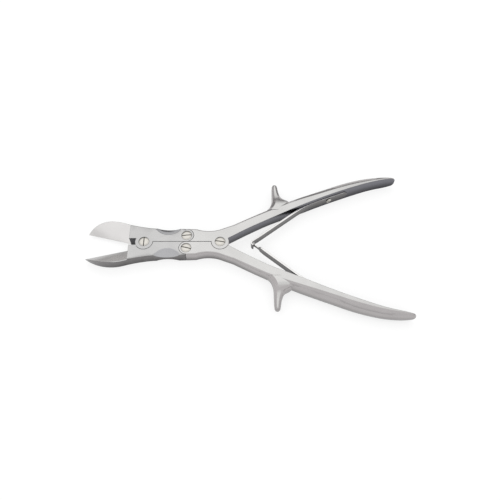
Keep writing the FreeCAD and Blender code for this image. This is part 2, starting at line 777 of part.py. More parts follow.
def tongue_cutter(name, face):
    """A block that narrows the lower leaf to its tongue, above or below the middle."""
    block = doc.addObject("Part::Box", name)
    bind(block, "Length", size["tongue_length"] * 2)
    bind(block, "Width", size["tongue_length"] * 2)
    bind(block, "Height", size["spring_width"])
    corner = Pair(size["spring_tip_reach"] - size["tongue_length"], -size["tongue_length"])
    half_tongue = size["tongue_width"] / 2
    level = half_tongue if face == UPPER else -half_tongue - size["spring_width"]
    place(block, corner, level)
    return block


def spring_hole(name, side):
    """The screw's hole through a leaf."""
    radius = size["spring_screw_radius"] + size["screw_play"]
    return seat_cylinder(name, side, screw_place, radius, -seat_clearance, size["spring_thickness"])


def make_hooked_spring(label):
    """The upper leaf, whose end is rolled into a hook round the bead."""
    leaf = spring_leaf(label, UPPER, True)
    return settle(without(f"{label}_piece", leaf, [spring_hole(f"{label}_hole", UPPER)]), label)


def make_tongued_spring(label):
    """The lower leaf, whose narrow tongue carries the bead."""
    leaf = spring_leaf(label, LOWER, False)
    tools = [spring_hole(f"{label}_hole", LOWER)]
    tools += [tongue_cutter(f"{label}_upper_corner", UPPER), tongue_cutter(f"{label}_lower_corner", LOWER)]
    trimmed = without(f"{label}_trimmed", leaf, tools)
    tip = Pair(size["spring_tip_reach"], 0)
    half_bead = size["bead_length"] / 2
    bead = cylinder(f"{label}_bead", tip, size["bead_radius"], -half_bead, half_bead)
    return settle(fused(f"{label}_piece", [trimmed, bead]), label)


def origin_plane(body, role):
    """One of a body's own origin planes, found by its role."""
    return next(item for item in body.Origin.OriginFeatures if item.Role == role)


def body_sketch(body, name, role, start, steps):
    """A sketch attached to one of the body's own origin planes."""
    sketch = body.newObject("Sketcher::SketchObject", name)
    sketch.AttachmentSupport = [(origin_plane(body, role), "")]
    sketch.MapMode = "FlatFace"
    draw_path(sketch, start, steps)
    return sketch


def turned_body(label, start, steps, crown_level, slot_reach):
    """A slotted screw: its half profile turned round the upright axis, then a slot cut from the crown."""
    body = doc.addObject("PartDesign::Body", f"{label}_body")
    body.Label = label
    profile = body_sketch(body, f"{label}_profile", "XZ_Plane", start, steps)
    turned = body.newObject("PartDesign::Revolution", f"{label}_turned")
    turned.Profile = profile
    turned.ReferenceAxis = (profile, ["V_Axis"])
    turned.Angle = 360.0
    doc.recompute()
    half_slot = size["slot_width"] / 2
    corners = [
        Pair(-slot_reach, -half_slot),
        Pair(slot_reach, -half_slot),
        Pair(slot_reach, half_slot),
        Pair(-slot_reach, half_slot),
    ]
    steps = [[corner] for corner in corners[1:] + corners[:1]]
    outline = body_sketch(body, f"{label}_slot_outline", "XY_Plane", corners[0], steps)
    bind(outline, "AttachmentOffset.Base.z", crown_level)
    slot = body.newObject("PartDesign::Pocket", f"{label}_slot")
    slot.Profile = outline
    bind(slot, "Length", size["slot_depth"])
    return body


def screw_crown(radius, rim_level, rise):
    """The domed top of a screw, as chords of a quarter ellipse from the rim to the axis."""
    steps = []
    for number in range(1, SCREW_CROWN_CHORDS + 1):
        turn = math.pi / 2 * number / SCREW_CROWN_CHORDS
        across = radius * math.cos(turn) if number < SCREW_CROWN_CHORDS else length(0)
        steps.append([Pair(across, rim_level + rise * math.sin(turn))])
    return steps


def make_joint_screw(label, centre, slot_turn):
    """A joint screw with a sunk, slightly domed head."""
    rim_level = half_body - size["screw_head_sink"]
    crown_level = rim_level + size["screw_dome"]
    end_level = size["screw_end_gap"] - half_body
    start = Pair(0, end_level)
    steps = [
        [Pair(size["screw_radius"], end_level)],
        [Pair(size["screw_radius"], rim_level - size["screw_head_depth"])],
        [Pair(size["screw_head_radius"], rim_level - size["screw_head_depth"])],
        [Pair(size["screw_head_radius"], rim_level)],
    ]
    steps += screw_crown(size["screw_head_radius"], rim_level, size["screw_dome"])
    steps.append([start])
    body = turned_body(label, start, steps, crown_level, size["screw_head_radius"] + OVERCUT)
    body.Placement = FreeCAD.Placement(FreeCAD.Vector(), FreeCAD.Rotation(FreeCAD.Vector(0, 0, 1), slot_turn))
    place(body, centre + Pair(frame_x, 0), frame_z)
    return body


def make_spring_screw(label, side):
    """The small screw that clamps a leaf to its seat, with its head inside the instrument."""
    under_head = size["spring_thickness"] - size["seat_depth"] + size["seat_play"] * 2
    crown_level = under_head + size["spring_screw_head_height"]
    rim_level = under_head + size["spring_screw_head_height"] / 2
    end_level = -size["seat_depth"] - size["spring_screw_length"]
    head_radius = size["spring_screw_head_radius"]
    start = Pair(0, end_level)
    steps = [
        [Pair(size["spring_screw_radius"], end_level)],
        [Pair(size["spring_screw_radius"], under_head)],
        [Pair(head_radius, under_head)],
        [Pair(head_radius, rim_level)],
    ]
    steps += screw_crown(head_radius, rim_level, size["spring_screw_head_height"] / 2)
    steps.append([start])
    body = turned_body(label, start, steps, crown_level, head_radius + OVERCUT)
    outward = seat_outward.on_side(side)
    upright = FreeCAD.Vector(0, 0, 1)
    body.Placement = FreeCAD.Placement(FreeCAD.Vector(), FreeCAD.Rotation(upright, -outward.vector()))
    place(body, screw_place.on_side(side) + Pair(frame_x, 0), frame_z)
    return body


def make_pieces():
    """Every piece of the instrument, from the blades to the springs."""
    return [
        make_jaw("upper_jaw", UPPER),
        make_jaw("lower_jaw", LOWER),
        make_handle("upper_handle", UPPER),
        make_handle("lower_handle", LOWER),
        make_joint_screw("jaw_pivot_screw", jaw_pivot, JAW_SLOT_TURN),
        make_joint_screw("handle_pivot_screw", handle_pivot, HANDLE_SLOT_TURN),
        make_joint_screw("upper_link_screw", link_pivot, UPPER_LINK_SLOT_TURN),
        make_joint_screw("lower_link_screw", link_pivot.on_side(LOWER), LOWER_LINK_SLOT_TURN),
        make_hooked_spring("upper_leaf_spring"),
        make_tongued_spring("lower_leaf_spring"),
        make_spring_screw("upper_spring_screw", UPPER),
        make_spring_screw("lower_spring_screw", LOWER),
    ]


def check_document():
    """Stop if any object of the document failed."""
    for item in doc.Objects:
        if "Invalid" in item.State or "Error" in item.State:
            raise RuntimeError(f"{item.Name} failed: {item.State}")


def write_parts(pieces):
    """Check each piece and write it to its own file."""
    os.makedirs("parts", exist_ok=True)
    for piece in pieces:
        shape = piece.Shape
        if shape.isNull() or not shape.isValid():
            raise RuntimeError(f"{piece.Label} has no valid shape")
        if len(shape.Solids) != 1:
            raise RuntimeError(f"{piece.Label} is {len(shape.Solids)} solids, not one")
        box = shape.BoundBox
        print(f"{piece.Label}: volume {shape.Volume:.1f}, x {box.XMin:.2f} to {box.XMax:.2f}, "
              f"y {box.YMin:.2f} to {box.YMax:.2f}, z {box.ZMin:.2f} to {box.ZMax:.2f}")
        shape.exportStep(f"parts/{piece.Label}.step")


pieces = make_pieces()
doc.recompute()
check_document()
write_parts(pieces)
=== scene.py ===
"""Bone cutting forceps, double action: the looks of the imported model.

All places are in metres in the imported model's frame: blades towards -X, grips towards +X, upper handle
towards +Y, screw heads towards +Z. Sizes are written in millimetres, the instrument's own from its handle
pivot at half height, and are turned into metres where a mesh, a lamp or the camera is made.
"""

import logging
import math
from dataclasses import dataclass
from enum import Enum

import bmesh
import bpy
import numpy as np
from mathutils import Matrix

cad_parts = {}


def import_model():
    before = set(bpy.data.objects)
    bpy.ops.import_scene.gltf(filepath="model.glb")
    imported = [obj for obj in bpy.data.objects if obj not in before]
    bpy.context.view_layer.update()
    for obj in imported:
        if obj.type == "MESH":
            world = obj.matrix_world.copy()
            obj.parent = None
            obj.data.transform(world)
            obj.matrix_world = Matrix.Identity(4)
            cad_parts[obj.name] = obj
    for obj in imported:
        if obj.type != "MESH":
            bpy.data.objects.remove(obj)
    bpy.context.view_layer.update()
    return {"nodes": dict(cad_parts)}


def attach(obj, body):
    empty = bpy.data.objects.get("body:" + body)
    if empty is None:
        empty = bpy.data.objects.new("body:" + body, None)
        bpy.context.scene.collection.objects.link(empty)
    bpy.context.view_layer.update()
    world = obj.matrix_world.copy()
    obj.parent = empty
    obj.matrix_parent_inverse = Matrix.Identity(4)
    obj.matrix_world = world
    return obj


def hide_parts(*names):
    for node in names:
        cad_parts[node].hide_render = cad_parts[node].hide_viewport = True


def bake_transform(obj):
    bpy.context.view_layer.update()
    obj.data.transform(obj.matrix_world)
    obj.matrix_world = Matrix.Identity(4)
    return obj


# A range or a place in plan, a colour or a place, the steps of a ramp, and what a node's input is fed.
Pair = tuple[float, float]
Triple = tuple[float, float, float]
Steps = tuple[Pair, ...]
Socket = bpy.types.NodeSocket
Fed = Socket | float | tuple[float, ...]

LOG = logging.getLogger("forceps")
MM = 0.001
# Where the handle pivot lies at half height, in frame millimetres.
ORIGIN = np.array([-20.2, 0.0, 7.1])
# Nearly all values of a noise texture lie between these two.
NOISE_RANGE: Pair = (0.3, 0.7)
# For a finish that has one colour all over: any face that leans counts as level.
ALL_LEVEL: Pair = (0.0, 0.1)


class Side(Enum):
    """Which half of the instrument a piece belongs to, as the sign of its Y."""

    UPPER = 1
    LOWER = -1

    @property
    def word(self) -> str:
        """The side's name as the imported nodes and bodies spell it."""
        return self.name.lower()


def in_frame(points: np.ndarray, side: Side = Side.UPPER) -> np.ndarray:
    """Turn handle-pivot millimetres on the upper side into metres in the frame.

    Args:
        points: array whose last axis is x, y, z in millimetres from the handle pivot.
        side: the side to put them on; the lower one mirrors Y.

    Returns:
        The same array in metres in the frame.
    """
    mirrored = np.array(points, float) * np.array([1.0, side.value, 1.0])
    return (mirrored + ORIGIN) * MM


def logistic(reach: np.ndarray, place: float, length: float) -> np.ndarray:
    """A smooth step from 0 to 1: one over one plus e to the power of place less reach, over length."""
    return 1 / (1 + np.exp((place - reach) / length))


def flattened(wave: np.ndarray, power: float) -> np.ndarray:
    """A sine or cosine pushed towards plus or minus one: its sign times its size to a power below one."""
    return np.sign(wave) * np.abs(wave) ** power


def toned(grey: float, tint: Triple) -> Triple:
    """A grey with a tint: the grey times each part of the tint."""
    return grey * tint[0], grey * tint[1], grey * tint[2]


def mesh_object(name: str, vertices: np.ndarray, faces: list[list[int]]) -> bpy.types.Object:
    """Make a smooth-shaded mesh object from whole arrays.

    Args:
        name: the piece's name.
        vertices: n by 3 array of places in metres.
        faces: vertex numbers of each face.

    Returns:
        The object, linked to the scene.
    """
    mesh = bpy.data.meshes.new(name)
    mesh.from_pydata(vertices.tolist(), [], faces)
    mesh.shade_smooth()
    piece = bpy.data.objects.new(name, mesh)
    bpy.context.scene.collection.objects.link(piece)
    return piece


def tube_faces(rings: int, around: int) -> list[list[int]]:
    """Faces of a closed tube whose vertices are stored ring by ring, then the middle of each end.

    Each pair of neighbouring rings is joined by quads, and each end ring by a fan of triangles to its middle.

    Args:
        rings: number of rings along the tube.
        around: number of vertices in a ring.

    Returns:
        Vertex numbers of each face.
    """
    ring, step = np.meshgrid(np.arange(rings - 1), np.arange(around), indexing="ij")
    after = (step + 1) % around
    quads = np.stack([ring * around + step, ring * around + after,
                      (ring + 1) * around + after, (ring + 1) * around + step], axis=-1)
    pole = rings * around
    step, after = step[0], after[0]
    first = np.stack([after, step, np.full(around, pole)], axis=-1)
    last = np.stack([step + pole - around, after + pole - around, np.full(around, pole + 1)], axis=-1)
    return quads.reshape(-1, 4).tolist() + first.tolist() + last.tolist()


def closed_piece(name: str, points: np.ndarray, made: bpy.types.Material) -> bpy.types.Object:
    """Make a piece from a grid of rings, closed at both ends, with every face turned outwards.

    Args:
        name: the piece's name.
        points: rings by places round by 3, in metres.
        made: the piece's material.

    Returns:
        The piece, linked to the scene.
    """
    ends = np.stack([points[0].mean(axis=0), points[-1].mean(axis=0)])
    vertices = np.concatenate([points.reshape(-1, 3), ends])
    piece = mesh_object(name, vertices, tube_faces(*points.shape[:2]))
    piece.data.materials.append(made)
    work = bmesh.new()
    work.from_mesh(piece.data)
    bmesh.ops.recalc_face_normals(work, faces=work.faces)
    work.to_mesh(piece.data)
    work.free()
    return piece


class NodeGraph:
    """A node tree under construction, with short ways to add the nodes that studio and finishes share."""

    def __init__(self, tree: bpy.types.NodeTree) -> None:
        """Work in the given tree."""
        self.nodes = tree.nodes
        self.links = tree.links

    def feed(self, target: Socket, value: Fed) -> None:
        """Link a socket to a target, or write a plain value on it.

        Args:
            target: the input socket.
            value: a socket to link, or the value to write.
        """
        if isinstance(value, Socket):
            self.links.new(value, target)
        else:
            target.default_value = value

    def node(self, kind: str, fed: dict[str | int, Fed], **options: str | int) -> bpy.types.Node:
        """Add a node, choose its options and feed its inputs.

        Args:
            kind: the node's type, without ShaderNode in front.
            fed: what each input gets, by the input's name or number.
            **options: the node's own options, such as operation.

        Returns:
            The node.
        """
        made = self.nodes.new(f"ShaderNode{kind}")
        for option, choice in options.items():
            setattr(made, option, choice)
        for key, value in fed.items():
            self.feed(made.inputs[key], value)
        return made

    def arithmetic(self, operation: str, *values: Fed) -> Socket:
        """One arithmetic step on sockets or numbers."""
        return self.node("Math", dict(enumerate(values)), operation=operation).outputs["Value"]

    def parts(self, vector: Socket) -> list[Socket]:
        """The X, Y and Z sockets of a vector."""
        return list(self.node("SeparateXYZ", {"Vector": vector}).outputs)

    def mixed(self, share: Socket, first: Socket | Triple, second: Socket | Triple) -> Socket:
        """Mix two colours.

        Args:
            share: socket with the share of the second one.
            first: colour or socket at share 0.
            second: colour or socket at share 1.

        Returns:
            The socket with the mixed colour.
        """
        pair = [colour if isinstance(colour, Socket) else (*colour, 1.0) for colour in (first, second)]
        return self.node("Mix", {"Factor": share, 6: pair[0], 7: pair[1]}, data_type="RGBA").outputs[2]

    def ranged(self, value: Socket, span: Pair, result: Pair) -> Socket:
        """Map a value smoothly from one range to another, held at both ends.

        Args:
            value: socket with the value.
            span: the values at which the result starts and ends.
            result: the result at its start and at its end.

        Returns:
            The socket with the result.
        """
        fed = {"Value": value, "From Min": span[0], "From Max": span[1], "To Min": result[0],
               "To Max": result[1]}
        return self.node("MapRange", fed, interpolation_type="SMOOTHSTEP").outputs["Result"]

    def ramp(self, value: Socket, steps: Steps) -> Socket:
        """Turn a value into a grey by steps with straight lines between them.

        Args:
            value: socket with the value, 0 to 1.
            steps: places and greys, the first at 0 and the last at 1.

        Returns:
            The socket with the grey.
        """
        made = self.node("ValToRGB", {"Fac": value})
        elements = made.color_ramp.elements
        for element, (_, grey) in zip(elements, (steps[0], steps[-1])):
            element.color = (grey, grey, grey, 1.0)
        for position, grey in steps[1:-1]:
            elements.new(position).color = (grey, grey, grey, 1.0)
        return made.outputs["Color"]


class SteelGraph(NodeGraph):
    """A steel material under construction."""

    def __init__(self, name: str) -> None:
        """Start an all-metal material that reads Object coordinates.

        Args:
            name: the material's name.
        """
        self.material = bpy.data.materials.new(name)
        self.material.use_nodes = True
        super().__init__(self.material.node_tree)
        self.shader = self.nodes["Principled BSDF"]
        self.shader.inputs["Metallic"].default_value = 1.0
        self.place = self.node("TexCoord", {}).outputs["Object"]

    def stretched(self, turn: float, scale: Triple) -> Socket:
        """Object coordinates turned about Z and then stretched.

        Args:
            turn: angle in degrees.
            scale: scale along each axis after the turn.

        Returns:
            The socket with the new coordinates.
        """
        turned = self.node("Mapping", {"Vector": self.place, "Rotation": (0.0, 0.0, -math.radians(turn))})
        return self.node("Mapping", {"Vector": turned.outputs["Vector"], "Scale": scale}).outputs["Vector"]

    def noise(self, vector: Socket, scale: float, detail: float) -> Socket:
        """Noise of a given scale and number of finer layers on the given coordinates."""
        return self.node("TexNoise", {"Vector": vector, "Scale": scale, "Detail": detail}).outputs["Fac"]

    def varied(self, noise: Socket, middle: float, spread: float) -> Socket:
        """Turn noise into a value that runs from middle less spread to middle plus spread."""
        return self.ranged(noise, NOISE_RANGE, (middle - spread, middle + spread))

    def scaled(self, colour: Socket, factor: Socket) -> Socket:
        """A colour made lighter or darker by a factor."""
        return self.node("VectorMath", {0: colour, "Scale": factor}, operation="SCALE").outputs["Vector"]

    def in_own_axes(self, normal: Socket) -> Socket:
        """A normal turned from the scene's axes to the object's own."""
        return self.node("VectorTransform", {"Vector": normal}, vector_type="NORMAL", convert_from="WORLD",
                         convert_to="OBJECT").outputs["Vector"]


@dataclass(frozen=True)
class Grain:
    """The grain of a steel surface: fine streaks that drive its roughness and a very shallow bump.

    scale stretches the streaks after they are turned, in degrees about Z. The roughness goes up and down by
    spread. depth is the bump's strength and bump its height, and edge is the radius over which the normal
    turns at an edge, both in millimetres. A SteelFinish reads that soft normal too, so edge also sets how
    wide its painted shade runs along each edge.
    """

    scale: Triple = (60.0, 2600.0, 2600.0)
    turn: float = 0.0
    detail: float = 3.0
    roughness: float = 0.24
    spread: float = 0.04
    depth: float = 0.12
    bump: float = 0.02
    edge: float = 0.25
    edge_samples: int = 6

    def lay(self, graph: SteelGraph) -> Socket:
        """Drive the shader's roughness and normal.

        The streaks are noise on stretched coordinates. The bump stands on a normal that turns softly over
        each edge.

        Args:
            graph: the material.

        Returns:
            The socket with that soft normal, before the bump, in the scene's axes.
        """
        streaks = graph.noise(graph.stretched(self.turn, self.scale), 1.0, self.detail)
        graph.feed(graph.shader.inputs["Roughness"], graph.varied(streaks, self.roughness, self.spread))
        soft = graph.node("Bevel", {"Radius": self.edge * MM}, samples=self.edge_samples).outputs["Normal"]
        bump = graph.node("Bump", {"Strength": self.depth, "Distance": self.bump * MM, "Normal": soft,
                                   "Height": streaks})
        graph.feed(graph.shader.inputs["Normal"], bump.outputs["Normal"])
        return soft


@dataclass(frozen=True)
class SteelFinish:
    """A finish of stainless steel: satin faces with fine grain, and walls and inner sides darkened as painted
    shade.

    level is the upright part of the normal at which a face turns from wall to top, facing is how squarely
    a wall has to look to the middle to get the darker painted shade, and height is where the painted shade on
    a wall goes from its darkest to its full colour. inward is the sign of Y on which the middle lies, or 0
    for a finish with no dark inner side.
    """

    name: str
    colour: Triple = (0.53, 0.525, 0.516)
    # Painted shade: wall darkens the steep faces, inner the walls that face the middle.
    wall: Triple = (0.42, 0.402, 0.402)
    inner: Triple = (0.165, 0.165, 0.185)
    inward: int = 0
    grain: Grain = Grain()
    level: Pair = (0.35, 0.80)
    facing: Pair = (0.35, 0.65)
    height: Pair = (1.5, 11.0)
    # Painted shade towards the underside: the walls' colour falls to this share at the bottom.
    underside_shade: float = 0.28
    tone_spread: float = 0.03
    cloud_scale: float = 55.0
    cloud_detail: float = 2.0

    def material(self) -> bpy.types.Material:
        """Build the node material.

        A slow cloud drives the tone. How steep a face stands mixes the wall's colour in as painted shade. The
        steepness is read from a normal that turns softly over each edge, so that shade also paints dark lines
        along edges and slits. A wall that faces the middle gets the inner colour, a deeper painted shade, and
        walls get painted shade that grows towards the underside.

        Returns:
            The material.
        """
        graph = SteelGraph(self.name)
        _, across, upright = graph.parts(graph.in_own_axes(self.grain.lay(graph)))
        # Painted shade: steep faces, and the rims of flat ones where the soft normal turns over an edge, take
        # the wall colour.
        steep = graph.ranged(graph.arithmetic("ABSOLUTE", upright), self.level, (1.0, 0.0))
        # Painted shade, darker still, on walls that face the middle.
        inside = graph.arithmetic("MULTIPLY", across, float(self.inward))
        facing = graph.ranged(inside, self.facing, (0.0, 1.0))
        # Painted shade that deepens towards the underside.
        bottom, top = self.height
        painted_underside_shade = graph.ranged(graph.parts(graph.place)[2], (bottom * MM, top * MM), (self.underside_shade, 1.0))
        walls = graph.scaled(graph.mixed(facing, self.wall, self.inner), painted_underside_shade)
        cloud = graph.noise(graph.place, self.cloud_scale, self.cloud_detail)
        tone = graph.varied(cloud, 1.0, self.tone_spread)
        colour = graph.scaled(graph.mixed(steep, self.colour, walls), tone)
        graph.feed(graph.shader.inputs["Base Color"], colour)
        return graph.material


@dataclass(frozen=True)
class ScrewFinish:
    """A turned screw: bright cream crown, and a painted shade below the level of the slot's floor that
    darkens the slot.

    slot_level is how far that floor lies along the screw's axis, and rim is half the way over which the
    colour changes there, in frame millimetres.
    """

    name: str
    axis: Triple = (0.0, 0.0, 1.0)
    slot_level: float = 11.95
    rim: float = 0.05
    crown: Triple = (0.58, 0.56, 0.52)
    # Painted shade on the slot and on all that lies below the slot's floor.
    slot: Triple = (0.10, 0.095, 0.09)
    grain: Grain = Grain(scale=(900.0, 900.0, 2400.0), spread=0.05, depth=0.1, edge=0.15)

    def material(self) -> bpy.types.Material:
        """Build the node material: the colour follows the height along the screw's axis.

        Returns:
            The material.
        """
        graph = SteelGraph(self.name)
        self.grain.lay(graph)
        height = graph.node("VectorMath", {0: graph.place, 1: self.axis}, operation="DOT_PRODUCT")
        span = ((self.slot_level - self.rim) * MM, (self.slot_level + self.rim) * MM)
        raised = graph.ranged(height.outputs["Value"], span, (0.0, 1.0))
        graph.feed(graph.shader.inputs["Base Color"], graph.mixed(raised, self.slot, self.crown))
        return graph.material


# The leaves' flat sides count as walls and are darkened as painted shade.
SPRING_STEEL = SteelFinish("polished_spring", colour=(0.68, 0.67, 0.66), wall=(0.17, 0.165, 0.165),
                           grain=Grain(roughness=0.2, edge=0.1))


@dataclass
class Studio:
    """Floor, soft light from a graded sky and one large lamp, and the camera of the photograph.

    The camera looks along +Y and down by its elevation at the target. Each pair of a sky's steps is a place
    from 0 to 1 and a grey: share_along and share_across say how much of the curtain shows in a direction,
    and curtain_steps how bright the curtain is from the horizon to the zenith.
    """

    target: Triple = (4.2, -5.1, 7.1)
    elevation: float = 60.27
    distance: float = 459.6
    focal_length: float = 40.38
    sensor: float = 36.0
    near: float = 10.0
    lamp_place: Triple = (-150.0, 500.0, 900.0)
    lamp_size: Pair = (1000.0, 700.0)
    lamp_energy: float = 0.6
    floor_half: float = 1200.0
    floor_grey: float = 0.3
    floor_roughness: float = 0.9
    floor_lift: float = 0.74
    sky_open: float = 1.05
    share_across: Steps = ((0.0, 0.35), (0.3, 0.35), (0.5, 0.0), (0.7, 1.0), (1.0, 1.0))
    share_along: Steps = ((0.0, 0.0), (0.55, 0.0), (0.75, 0.6), (1.0, 0.6))
    curtain_steps: Steps = ((0.0, 1.05), (0.15, 1.05), (0.2, 0.12), (0.34, 0.37), (0.47, 0.8), (0.6, 1.0),
                            (0.87, 1.1), (1.0, 1.1))

    def build(self) -> None:
        """Make everything that isn't part of the instrument."""
        self.make_camera()
        self.make_world()
        self.make_lamp()
        self.make_floor()
        bpy.context.scene.view_settings.view_transform = "Standard"

    def make_camera(self) -> None:
        """Place the camera where the photograph was taken from, aimed at the middle of its frame."""
        lens = bpy.data.cameras.new("camera")
        lens.sensor_width = self.sensor
        lens.sensor_fit = "HORIZONTAL"
        lens.lens = self.focal_length
        lens.clip_start = self.near * MM
        camera = bpy.data.objects.new("camera", lens)
        bpy.context.scene.collection.objects.link(camera)
        tilt = math.radians(self.elevation)
        back = np.array([0.0, -math.cos(tilt), math.sin(tilt)])
        camera.location = (np.array(self.target) + back * self.distance) * MM
        camera.rotation_euler = (math.pi / 2 - tilt, 0.0, 0.0)
        bpy.context.scene.camera = camera

    def make_world(self) -> None:
        """Make a bright sky with a dark curtain behind the instrument, and fainter ones before and beside it.

        The curtains are a band of the sky that starts some way above the horizon and fades out upwards.
        How dark it is depends on the direction seen from above, and the horizon is white all round. Along
        and across run from -1 to 1, so each is halved and raised by a half before it goes into its ramp.
        """
        world = bpy.data.worlds.new("sky")
        bpy.context.scene.world = world
        world.use_nodes = True
        graph = NodeGraph(world.node_tree)
        along, across, up = graph.parts(graph.node("TexCoord", {}).outputs["Generated"])
        shares = [graph.ramp(graph.arithmetic("MULTIPLY_ADD", way, 0.5, 0.5), steps)
                  for way, steps in ((along, self.share_along), (across, self.share_across))]
        share = graph.arithmetic("MAXIMUM", *shares)
        sky = graph.mixed(share, (self.sky_open,) * 3, graph.ramp(up, self.curtain_steps))
        graph.feed(graph.nodes["Background"].inputs["Color"], sky)

    def make_lamp(self) -> None:
        """Make one large soft lamp above and behind the instrument, aimed at the frame's origin."""
        lamp = bpy.data.lights.new("softbox", "AREA")
        lamp.shape = "RECTANGLE"
        lamp.size, lamp.size_y = (length * MM for length in self.lamp_size)
        lamp.energy = self.lamp_energy
        box = bpy.data.objects.new("softbox", lamp)
        bpy.context.scene.collection.objects.link(box)
        box.location = [place * MM for place in self.lamp_place]
        x, y, z = self.lamp_place
        box.rotation_euler = (math.atan2(math.hypot(x, y), z), 0.0, math.atan2(-y, -x) - math.pi / 2)

    def make_floor(self) -> None:
        """Make a pale floor that the camera and reflections see as white, with the shadow kept."""
        corners = np.array([[-1, -1, 0], [1, -1, 0], [1, 1, 0], [-1, 1, 0]]) * self.floor_half * MM
        floor = mesh_object("floor", corners, [[0, 1, 2, 3]])
        made = bpy.data.materials.new("pale_floor")
        made.use_nodes = True
        graph = NodeGraph(made.node_tree)
        rays = graph.node("LightPath", {}).outputs
        seen = graph.arithmetic("MAXIMUM", rays["Is Camera Ray"], rays["Is Glossy Ray"])
        fed = {"Base Color": (self.floor_grey,) * 3 + (1.0,), "Roughness": self.floor_roughness,
               "Specular IOR Level": 0.0, "Emission Color": (1.0, 1.0, 1.0, 1.0),
               "Emission Strength": graph.arithmetic("MULTIPLY", seen, self.floor_lift)}
        for name, value in fed.items():
            graph.feed(graph.nodes["Principled BSDF"].inputs[name], value)
        floor.data.materials.append(made)


@dataclass(frozen=True)
class LeafPath:
    """Middle line of a leaf: straight root, a curve for the bend, straight blade and, if hooked, a roll.

    The tip is the middle of the bead. The seat on the handle runs from seat_front to seat_rear, and the line
    stands off it towards the middle by the size of inward. bend_place is the way from the seat's front to
    the bend's corner, bend_length the way from there to each end of the curve, and slot_rise the height of
    the screw's slot over the seat.
    """

    tip: Pair = (27.5, 0.0)
    seat_front: Pair = (84.0, 42.0)
    seat_rear: Pair = (108.0, 51.7)
    inward: float = -0.3
    bend_place: float = 14.5
    bend_length: float = 10.5
    slot_rise: float = 1.25
    roll_radius: float = 1.9
    roll_turn: float = 135.0
    samples: int = 41

    @property
    def along(self) -> np.ndarray:
        """Direction of the seat in plan, from front to rear, one millimetre long."""
        step = np.array(self.seat_rear) - np.array(self.seat_front)
        return step / np.linalg.norm(step)

    def inward_axis(self, side: Side) -> Triple:
        """The direction that the spring's screw faces: square to the seat, towards the middle."""
        return float(self.along[1]), float(-self.along[0]) * side.value, 0.0

    def slot_level(self) -> float:
        """How far along that direction the floor of the screw's slot lies, in frame millimetres."""
        seat = np.append(self.seat_front, 0.0) + ORIGIN
        return float(seat @ np.array(self.inward_axis(Side.UPPER))) + self.slot_rise

    def corners(self, hooked: bool) -> tuple[np.ndarray, np.ndarray, np.ndarray]:
        """Work out the corners of the path.

        A hooked blade ends where its line touches the circle of the roll. Seen from the circle's middle,
        that point lies towards the bend by the radius squared over the distance, and to the left by the
        radius times the tangent's length over the distance.

        Args:
            hooked: whether the tip rolls round the bead.

        Returns:
            Root end, bend corner and tip of the straight blade.
        """
        along = self.along
        out = np.array([-along[1], along[0]])
        root = np.array(self.seat_rear) + out * self.inward
        corner = np.array(self.seat_front) + out * self.inward - along * self.bend_place
        tip = np.array(self.tip)
        if hooked:
            away = corner - tip
            squared = away @ away
            reach = math.sqrt(squared - self.roll_radius ** 2)
            left = np.array([-away[1], away[0]])
            tip = tip + away * self.roll_radius ** 2 / squared + left * self.roll_radius * reach / squared
        return root, corner, tip

    def points(self, hooked: bool) -> np.ndarray:
        """Sample the path.

        The root and the blade are straight. The bend is a quadratic curve: at share t of its way it is the
        square of one less t times its rear end, twice t times one less t times the corner, and the square of
        t times its front end, added up. The roll is an arc about the bead.

        Args:
            hooked: whether the tip rolls round the bead.

        Returns:
            n by 2 array of plan places in millimetres from the handle pivot.
        """
        root, corner, tip = self.corners(hooked)
        blade = (tip - corner) / np.linalg.norm(tip - corner)
        rear, front = corner + self.along * self.bend_length, corner + blade * self.bend_length
        share = np.linspace(0.0, 1.0, self.samples)[:, None]
        open_share = share[:-1]
        rest = 1 - open_share
        parts = [root + (rear - root) * open_share,
                 rest ** 2 * rear + 2 * open_share * rest * corner + open_share ** 2 * front,
                 front + (tip - front) * share]
        if hooked:
            centre = np.array(self.tip)
            start = math.atan2(*(tip - centre)[::-1])
            turn = start + np.radians(self.roll_turn) * share[1:, 0]
            parts.append(centre + self.roll_radius * np.stack([np.cos(turn), np.sin(turn)], axis=-1))
        return np.concatenate(parts)


